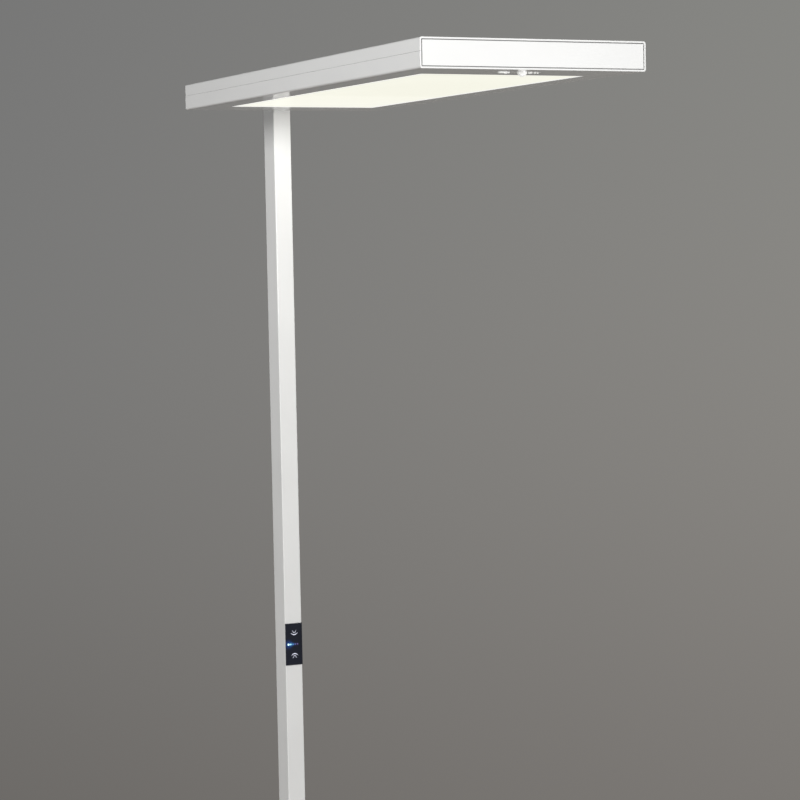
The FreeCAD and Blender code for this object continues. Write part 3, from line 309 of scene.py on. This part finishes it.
def opal(name, half_x, near_y, far_y):
    """Lit panel: warm white, brighter to its far end and along its rim, with fine prisms moulded in."""
    n = Paint(name)
    middle_y = (near_y + far_y) / 2
    beside = n.math("SUBTRACT", half_x, n.math("ABSOLUTE", n.axis(0)))
    along = n.math("ABSOLUTE", n.math("SUBTRACT", n.axis(1), middle_y))
    beyond = n.math("SUBTRACT", (far_y - near_y) / 2, along)
    rim = n.ramp(n.math("MINIMUM", beside, beyond), 2 * MM, 11 * MM, 1.0, 0.0)
    glow = n.mix(n.spread(n.noise(4.0, 1.0)), (0.950, 0.945, 0.820), (0.970, 0.965, 0.845))
    glow = n.mix(n.ramp(n.axis(1), middle_y, far_y), glow, (0.995, 0.990, 0.885))
    prisms = n.voronoi(520.0)
    glow = n.mix(n.math("MULTIPLY", n.ramp(prisms, 0.2, 0.6), 0.05), glow, (0.88, 0.88, 0.75))
    n.set(Base_Color=(0.30, 0.30, 0.29, 1.0), Roughness=0.5, Specular_IOR_Level=0.05)
    n.set(Emission_Color=n.mix(rim, glow, (1.0, 1.0, 0.985)), Emission_Strength=0.86)
    n.set(Normal=n.bump(prisms, 0.15 * MM, 0.5))
    return n.material


def clear(name, tint, roughness, transmission):
    """Clear moulded plastic with faint flow marks."""
    n = Paint(name)
    n.set(Base_Color=mottled(n, tint, 0.02, 80.0), Transmission_Weight=transmission, IOR=1.49)
    n.set(Roughness=n.spread(n.noise(90.0), roughness, roughness + 0.05))
    n.set(Normal=n.bump(n.noise(240.0), 0.01 * MM, 0.3))
    return n.material


def milky_lens_with_painted_glow(name, glow):
    """Milky moulded lens with small facets and rings, and a painted glow: a faint emission that stands in for
    the lit panel's light falling on it.
    """
    n = Paint(name)
    facets = n.voronoi(430.0)
    across = n.math("SUBTRACT", n.axis(0), lens_centre.x)
    along = n.math("SUBTRACT", n.axis(1), lens_centre.y)
    rings = n.math("SINE", n.math("MULTIPLY", n.distance(across, along), 2 * math.pi / (1.2 * MM)))
    n.set(Base_Color=mottled(n, (0.97, 0.97, 0.96), 0.01, 120.0), Roughness=0.28)
    n.set(Subsurface_Weight=0.35, Subsurface_Radius=(4 * MM, 4 * MM, 3.8 * MM), Subsurface_Scale=1.0)
    # Painted glow: emission on this passive lens in place of the light that the lit panel throws on it.
    n.set(Emission_Color=(1.0, 1.0, 0.97, 1.0), Emission_Strength=glow)
    n.set(Normal=n.bump(facets, 0.15 * MM, 0.6, n.bump(rings, 0.04 * MM, 0.5)))
    return n.material


def panel_glass(name):
    """Black glass printed behind, with the glow of the small lights on its front."""
    n = Paint(name)
    tint = (0.0085, 0.0110, 0.0210)
    base = n.mix(n.spread(n.noise(30.0, 2.0)), shade(tint, 0.85), shade(tint, 1.15))
    n.set(Base_Color=base, IOR=1.52, Coat_Weight=0.25, Coat_Roughness=0.03)
    n.set(Roughness=n.ramp(n.noise(55.0, 4.0), 0.35, 0.75, 0.07, 0.16))
    n.set(Normal=n.bump(n.noise(45.0), 0.02 * MM, 0.2))
    front = n.ramp(n.axis(1), glass_front + 0.2 * MM, glass_front + 0.5 * MM, 1.0, 0.0)
    height = n.math("SUBTRACT", n.axis(2), glass_middle_z)
    glow = None
    for index, light in enumerate(small_lights):
        colour, strength, reach = light["halo"]
        away = n.distance(n.math("SUBTRACT", n.axis(0), light_x(index)), height)
        halo = n.math("POWER", n.ramp(away, 0.0, reach * MM, 1.0, 0.0), 2.0)
        part = n.mix(n.math("MULTIPLY", n.math("MULTIPLY", halo, front), strength), (0, 0, 0), colour)
        glow = part if glow is None else n.mix(1.0, glow, part, "ADD")
    n.set(Emission_Color=glow, Emission_Strength=1.0)
    return n.material


def glowing(name, colour, strength):
    """Printed mark or small light that shines through the glass."""
    n = Paint(name)
    fine = n.spread(n.noise(2600.0, 1.0))
    n.set(Base_Color=(0.05, 0.05, 0.06, 1.0), Roughness=0.2)
    n.set(Emission_Color=n.mix(fine, shade(colour, 0.92), colour), Emission_Strength=strength)
    return n.material


def felt(name, colour):
    """Pressed felt with short crossing fibres."""
    n = Paint(name)
    fibres = n.noise(1100.0, 4.0, 0.7, n.stretched((1.0, 3.0, 1.0)), 1.5)
    n.set(Base_Color=n.mix(n.spread(fibres), shade(colour, 0.7), shade(colour, 1.3)))
    n.set(Roughness=0.95, Sheen_Weight=0.3, Sheen_Roughness=0.6)
    n.set(Normal=n.bump(fibres, 0.2 * MM, 0.8))
    return n.material


def cable_sheath(name, colour):
    """Matt cable sheath with faint drawing lines."""
    n = Paint(name)
    lines = n.noise(700.0, 2.0, 0.5, n.stretched((1.0, 1.0, 0.06)))
    n.set(Base_Color=mottled(n, colour, 0.03, 50.0))
    n.set(Roughness=n.spread(lines, 0.5, 0.62))
    n.set(Normal=n.bump(lines, 0.03 * MM, 0.4))
    return n.material


material_of = {
    "casing_white": powder_coat("casing_white", casing_colour, casing_texture, casing_coat),
    "base_white": powder_coat("base_white", (0.80, 0.80, 0.785), 0.09, 0.2, dirt_height=16 * MM),
    "opal_panel": opal("opal_panel", panel_high.x - panel_flange, panel_low.y + panel_flange,
                       panel_high.y - panel_flange),
    "clear_guide": clear("clear_guide", (0.93, 0.96, 0.96), roughness=0.04, transmission=0.9),
    "white_film": moulded("white_film", (0.90, 0.90, 0.90), roughness=0.6, grain=400.0, depth=0.01),
    "white_reflector": moulded("white_reflector", (0.90, 0.90, 0.89), roughness=0.55, grain=600.0,
                               depth=0.02),
    "bare_aluminium": metal("bare_aluminium", (0.78, 0.78, 0.79), 0.32, 60.0, stretch=(30.0, 1.0, 30.0)),
    "steel_bracket": metal("zinc_plate", (0.62, 0.63, 0.64), 0.34, 300.0, blotch=0.08),
    "screw_steel": metal("screw_steel", (0.70, 0.70, 0.71), 0.28, 800.0, stretch=(1.0, 1.0, 6.0)),
    "white_board": circuit_board("white_board", (0.82, 0.83, 0.82), (0.70, 0.66, 0.52), roughness=0.35),
    "green_board": circuit_board("green_board", (0.045, 0.20, 0.10), (0.75, 0.62, 0.35), roughness=0.3),
    "driver_case": moulded("driver_case", (0.82, 0.82, 0.80), roughness=0.5, grain=500.0, depth=0.05),
    "terminal_grey": moulded("terminal_grey", (0.33, 0.34, 0.35), roughness=0.42, grain=700.0, depth=0.04),
    "sensor_white": moulded("sensor_white", (0.82, 0.82, 0.80), roughness=0.42, grain=1300.0, depth=0.03),
    # The sensor's lens, window and receiver get a painted glow for the lit panel's light.
    "lens_white": milky_lens_with_painted_glow("lens_white", glow=0.34),
    "window_clear": milky_lens_with_painted_glow("window_clear", glow=0.26),
    "receiver_milky": milky_lens_with_painted_glow("receiver_milky", glow=0.32),
    "sensor_can": metal("sensor_can", (0.72, 0.71, 0.66), 0.25, 500.0),
    "cable_white": cable_sheath("cable_white", (0.80, 0.80, 0.79)),
    "panel_glass": panel_glass("panel_glass"),
    "carrier_black": moulded("carrier_black", (0.030, 0.030, 0.033), roughness=0.5, grain=700.0, depth=0.05),
    "indicator_light": clear("indicator_light", (0.80, 0.90, 0.97), roughness=0.15, transmission=0.5),
    "gland_grey": moulded("gland_grey", (0.62, 0.62, 0.60), roughness=0.45, grain=800.0, depth=0.04),
    "stud_steel": metal("stud_steel", (0.70, 0.70, 0.71), 0.3, 700.0, stretch=(1.0, 1.0, 12.0)),
    "glide_plastic": moulded("glide_plastic", (0.040, 0.040, 0.043), roughness=0.5, grain=600.0, depth=0.06),
    "glide_felt": felt("glide_felt", (0.10, 0.10, 0.105)),
}

for part in frame["record"]["subparts"]:
    node = nodes[part["node"]]
    node.data.materials.clear()
    node.data.materials.append(material_of[part["material_slot"]])
# Each end plate gets its own coat with painted shade in its joint.
for plate, corner in (("end_plate_near", 0), ("end_plate_far", 1)):
    end_face = abs(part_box(plate)[corner].y)
    paint = powder_coat("casing_" + plate, casing_colour, casing_texture, casing_coat, end_face=end_face)
    nodes[plate].data.materials[0] = paint


# ---------------------------------------------------------------- fine edge of the near end plate
def soften(node_name, width):
    """Break the sharp edges of a node, so that they catch the light."""
    bevel = nodes[node_name].modifiers.new("edge", "BEVEL")
    bevel.width = width
    bevel.segments = 2
    bevel.limit_method = "ANGLE"
    bevel.angle_limit = math.radians(50)
    bevel.harden_normals = True


soften("end_plate_near", 0.25 * MM)


# ---------------------------------------------------------------- marks and small lights on the glass
def new_piece(name, mesh, material, smooth=False):
    """A piece of the lamp body made from a finished bmesh, its faces turned outward."""
    bmesh.ops.recalc_face_normals(mesh, faces=mesh.faces)
    data = bpy.data.meshes.new(name)
    mesh.to_mesh(data)
    mesh.free()
    data.polygons.foreach_set("use_smooth", [smooth] * len(data.polygons))
    data.materials.append(material)
    piece = bpy.data.objects.new(name, data)
    scene.collection.objects.link(piece)
    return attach(piece, "lamp")


def band(mesh, first, second):
    """Faces between two loops of as many vertices."""
    for k in range(len(first)):
        j = (k + 1) % len(first)
        mesh.faces.new((first[k], first[j], second[j], second[k]))


def raised(mesh, outline, x, z, thickness):
    """Thin plate on the glass from an outline in the glass's plane."""
    back, front = [[mesh.verts.new((x + px, y, z + pz)) for px, pz in outline]
                   for y in (glass_front, glass_front - thickness)]
    mesh.faces.new(list(reversed(back)))
    mesh.faces.new(front)
    band(mesh, back, front)


def crescent(width, height, belly):
    """Bowl-shaped outline, open upward, its ends pointed and its middle thick."""
    low = []
    high = []
    for k in range(lampshade_steps + 1):
        across = -1 + 2 * k / lampshade_steps
        bottom = -height * (1 - across * across)
        low.append((across * width / 2, bottom))
        high.append((across * width / 2, bottom + belly * (1 - abs(across) ** 3)))
    return low + list(reversed(high[1:-1]))


def ray(x, z, angle, length, width):
    """Short round-ended stroke that leaves a place at an angle."""
    outline = []
    for centre, start in ((length, -math.pi / 2), (0.0, math.pi / 2)):
        for k in range(ray_end_steps + 1):
            a = start + math.pi * k / ray_end_steps
            outline.append((centre + width / 2 * math.cos(a), width / 2 * math.sin(a)))
    turn, shift = math.cos(angle), math.sin(angle)
    return [(x + px * turn - pz * shift, z + px * shift + pz * turn) for px, pz in outline]


def light_mark(name, material, x, z, upward):
    """Generic mark of a lampshade, its rays above it or, turned over, below it."""
    strokes = [crescent(lampshade_width, lampshade_height, lampshade_belly)]
    for ray_x, ray_z, angle, length in mark_rays:
        strokes.append(ray(ray_x * MM, ray_z * MM, math.radians(angle), length * MM, ray_width))
    mesh = bmesh.new()
    for outline in strokes:
        if not upward:
            outline = [(px, -pz) for px, pz in reversed(outline)]
        raised(mesh, outline, x, z, mark_proud)
    new_piece(name, mesh, material)


def light_dots():
    """Row of small lights seen through the glass."""
    for index, light in enumerate(small_lights):
        colour, strength, radius = light["dot"]
        name = "light_dot_%d" % (index + 1)
        angles = [2 * math.pi * k / dot_sides for k in range(dot_sides)]
        circle = [(radius * MM * math.cos(a), radius * MM * math.sin(a)) for a in angles]
        mesh = bmesh.new()
        raised(mesh, circle, light_x(index), glass_middle_z, dot_proud)
        new_piece(name, mesh, glowing(name, colour, strength))


mark_white = glowing("mark_white", (0.80, 0.82, 0.95), 1.15)
light_mark("mark_up", mark_white, mark_up_x, glass_middle_z + mark_offset, True)
light_mark("mark_down", mark_white, mark_down_x, glass_middle_z - mark_offset, False)
light_dots()


# ---------------------------------------------------------------- the lid's screws
def countersunk_screw(mesh, x, y, top_z, length):
    """Flat-head screw with a hexagon recess, rim slightly rounded."""
    def ring(radius, depth, hexagonal=False):
        """Round or six-sided loop of vertices at a depth below the head's top."""
        loop = []
        for k in range(screw_sides):
            a = 2 * math.pi * k / screw_sides
            r = radius
            if hexagonal:
                r = radius / math.cos((a + math.pi / 6) % (math.pi / 3) - math.pi / 6)
            loop.append(mesh.verts.new((x + r * math.cos(a), y + r * math.sin(a), top_z - depth)))
        return loop

    cone = head_radius - shank_radius
    rings = [ring(recess_half_flats / 2, recess_depth + recess_point, True),
             ring(recess_half_flats, recess_depth, True),
             ring(recess_half_flats, recess_chamfer, True),
             ring(recess_half_flats + recess_chamfer, 0.0, True),
             ring(head_radius - rim_inset, 0.0),
             ring(head_radius, rim_drop),
             ring(shank_radius + rim_drop, cone),
             ring(shank_radius, cone + neck_length),
             ring(shank_radius, length - tip_length),
             ring(shank_radius * tip_share, length)]
    mesh.faces.new(rings[0])
    for upper, lower in zip(rings, rings[1:]):
        band(mesh, upper, lower)
    mesh.faces.new(rings[-1])


def lid_screws():
    """The lid's screws with their recesses."""
    low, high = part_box("housing_screws")
    middle_y = (low.y + high.y) / 2
    mesh = bmesh.new()
    for x in (low.x + head_radius, high.x - head_radius):
        for y in (low.y + head_radius, middle_y, high.y - head_radius):
            countersunk_screw(mesh, x, y, high.z, high.z - low.z)
    screws = new_piece("lid_screws", mesh, material_of["screw_steel"], smooth=True)
    split = screws.modifiers.new("split", "EDGE_SPLIT")
    split.split_angle = math.radians(35)
    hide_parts("housing_screws")


lid_screws()


# ---------------------------------------------------------------- floor, surround and lamps
def studio_floor():
    """Pale round floor that fades out at its edge."""
    mesh = bmesh.new()
    bmesh.ops.create_circle(mesh, cap_ends=True, segments=128, radius=floor_radius)
    data = bpy.data.meshes.new("floor")
    mesh.to_mesh(data)
    mesh.free()
    disc = bpy.data.objects.new("floor", data)
    disc.location.z = -floor_drop
    scene.collection.objects.link(disc)
    n = Paint("floor")
    pale = n.mix(n.spread(n.noise(2.0, 3.0)), (0.55, 0.53, 0.50), (0.60, 0.58, 0.55))
    n.set(Base_Color=pale, Roughness=0.75)
    n.set(Alpha=n.ramp(n.distance(n.axis(0), n.axis(1)), floor_fade_start, floor_fade_end, 1.0, 0.0))
    n.set(Normal=n.bump(n.noise(300.0), 0.1 * MM, 0.2))
    data.materials.append(n.material)


def surround():
    """Grey surround for the camera, glossy and clear rays, and an even fill for everything else."""
    scene.world = bpy.data.worlds.new("surround")
    n = Nodes(scene.world, "Generated")
    sideways = n.ramp(n.axis(0), *sideways_range, kind="LINEAR")
    upward = n.ramp(n.axis(2), *upward_range, kind="LINEAR")
    sides = []
    for low, middle, high in (left_greys, right_greys):
        greys = n.add("ValToRGB", {"Fac": upward})
        greys.color_ramp.interpolation = "B_SPLINE"
        greys.color_ramp.elements[0].color = low + (1.0,)
        greys.color_ramp.elements[1].color = high + (1.0,)
        greys.color_ramp.elements.new(0.5).color = middle + (1.0,)
        sides.append(greys.outputs["Color"])
    seen = n.add("Background", {"Color": n.mix(sideways, *sides), "Strength": 1.0})
    fill = n.add("Background", {"Color": (1.0, 1.0, 1.0, 1.0), "Strength": fill_strength})
    rays = n.add("LightPath").outputs
    shown = rays["Is Camera Ray"]
    for kind in ("Is Glossy Ray", "Is Transmission Ray"):
        shown = n.math("MAXIMUM", shown, rays[kind])
    choose = n.add("MixShader", {"Fac": shown, 1: fill.outputs[0], 2: seen.outputs[0]})
    n.add("OutputWorld", {"Surface": choose.outputs[0]})


def soft_lamp(name, place, target, width, height, watts, colour=(1.0, 1.0, 1.0), spread=180, mirrored=False):
    """Rectangular soft light aimed at a point; its mirror image on gloss is left out unless mirrored."""
    data = bpy.data.lights.new(name, "AREA")
    data.shape = "RECTANGLE"
    data.size = width
    data.size_y = height
    data.energy = watts
    data.color = colour
    data.spread = math.radians(spread)
    lamp = bpy.data.objects.new(name, data)
    lamp.location = place
    lamp.rotation_mode = "QUATERNION"
    lamp.rotation_quaternion = (Vector(target) - Vector(place)).to_track_quat("-Z", "Y")
    scene.collection.objects.link(lamp)
    lamp.visible_camera = False
    lamp.visible_glossy = mirrored


def window_lamps():
    """Hidden lamps that throw the lit window's light, since its own glow is set only for its look."""
    middle = (panel_low + panel_high) / 2
    soft_lamp("panel_light", (middle.x, middle.y, panel_low.z - window_lamp_drop), (middle.x, middle.y, 0.0),
              panel_high.x - panel_low.x - 2 * window_lamp_margin,
              panel_high.y - panel_low.y - 2 * window_lamp_margin, 0.46, window_tint)
    # A strip's place and target beyond the window's far end, and the target below the window, all in mm.
    for name, place_y, target_y, target_drop, watts in (("panel_far_light", -290, 90, 660, 0.10),
                                                        ("panel_side_light", 5, 100, 60, 0.018)):
        soft_lamp(name, (middle.x, panel_high.y + place_y * MM, panel_low.z - strip_drop),
                  (middle.x, panel_high.y + target_y * MM, panel_low.z - target_drop * MM),
                  strip_width, strip_height, watts, window_tint)


studio_floor()
surround()
soft_lamp("key_left", (-3.7, -2.7, 2.85), (0.0, 0.0, 2.5), 1.3, 1.2, 80.5, spread=130)
soft_lamp("front", (0.05, -2.05, 1.76), (0.0, 0.0, 1.7), 0.9, 0.6, 13.9, mirrored=True)
soft_lamp("key_right", (2.4, -3.9, 2.0), (0.0, 0.0, 1.5), 1.3, 1.2, 23.0)
soft_lamp("back_right", (2.6, 3.0, 2.7), (0.0, 0.1, 1.3), 1.6, 1.2, 80.0)
soft_lamp("back_left", (-3.3, 2.7, 2.5), (0.0, 0.1, 1.3), 1.6, 1.2, 20.0)
window_lamps()
